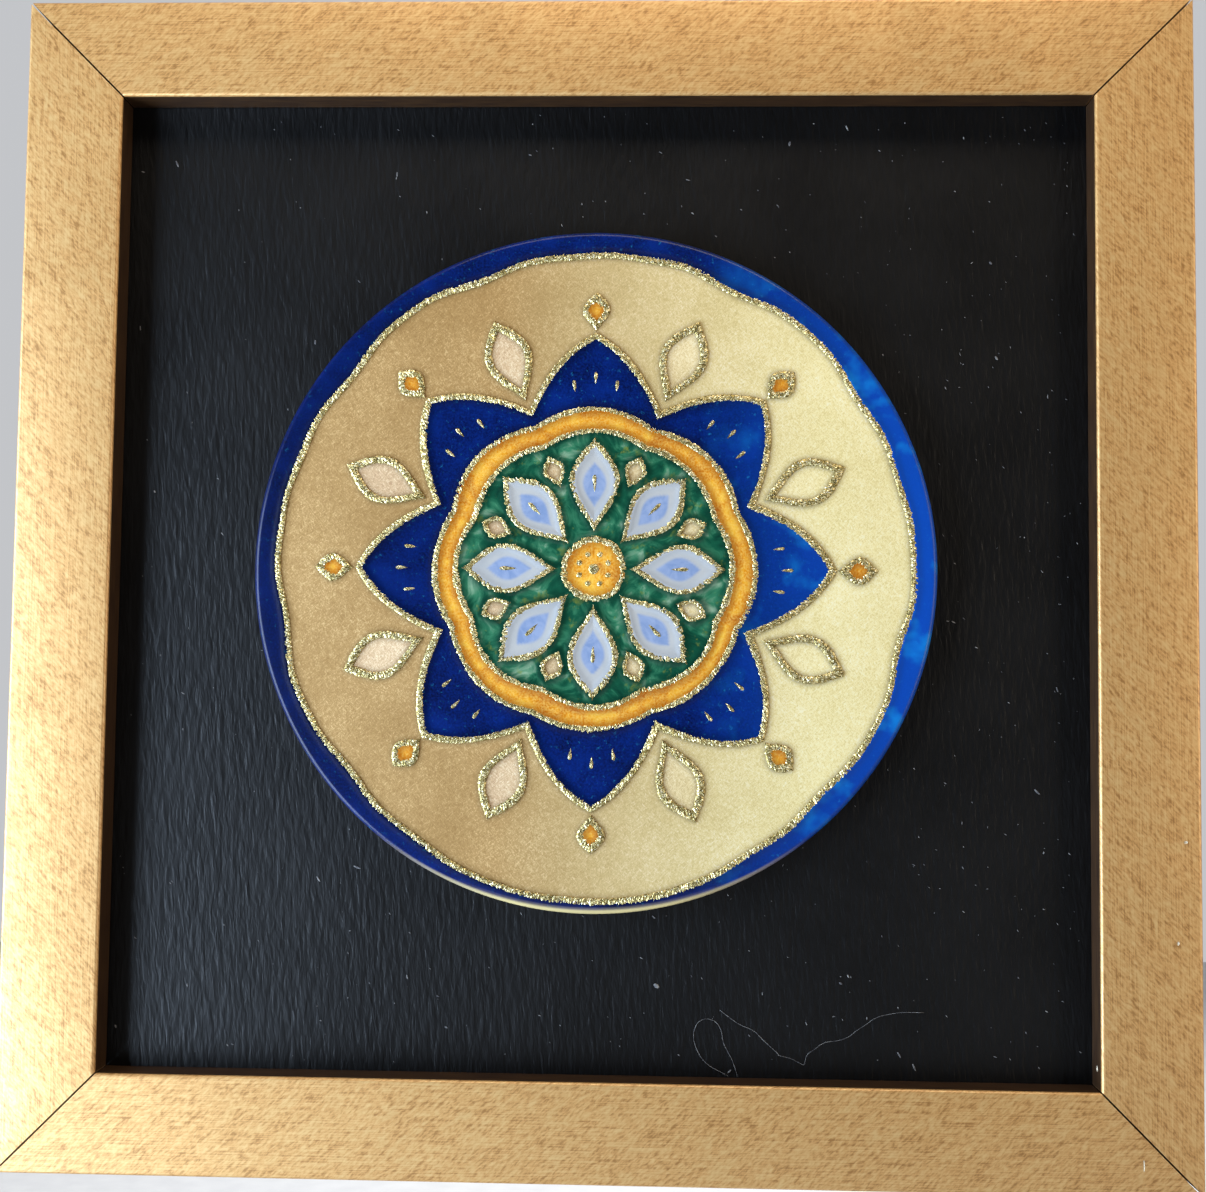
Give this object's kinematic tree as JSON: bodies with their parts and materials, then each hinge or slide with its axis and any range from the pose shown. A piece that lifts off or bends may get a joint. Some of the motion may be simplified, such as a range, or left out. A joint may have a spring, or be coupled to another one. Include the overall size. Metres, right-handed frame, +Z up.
{
  "type": "framed ceramic art",
  "caption": "Square gold-foil wall frame around a black leatherette board that carries a round enamelled ceramic plaque with a raised gold-line rosette; sawtooth hanger behind.",
  "frame": {"origin": "middle of the sawtooth hanger's flat back face, where the object meets the wall", "axes": "+X to the viewer's right, +Y out of the back towards the wall, +Z up; the picture faces -Y"},
  "size_m": [0.24, 0.0226, 0.24],
  "materials": {
    "gold_foil": "satin",
    "black_leatherette": "satin",
    "fibreboard": "matte",
    "enamelled_ceramic": "gloss",
    "zinc_steel": "satin",
    "brassed_steel": "satin"
  },
  "bodies": {
    "root": {"top_rail": "gold_foil", "right_rail": "gold_foil", "bottom_rail": "gold_foil", "left_rail": "gold_foil", "leatherette_facing": "black_leatherette", "backing_board": "fibreboard", "ceramic_disc": "enamelled_ceramic", "board_tab_top_1": "zinc_steel", "board_tab_top_2": "zinc_steel", "board_tab_right_1": "zinc_steel", "board_tab_right_2": "zinc_steel", "board_tab_bottom_1": "zinc_steel", "board_tab_bottom_2": "zinc_steel", "board_tab_left_1": "zinc_steel", "board_tab_left_2": "zinc_steel", "sawtooth_hanger": "brassed_steel", "hanger_pin_left": "brassed_steel", "hanger_pin_right": "brassed_steel"}
  },
  "joints": []
}
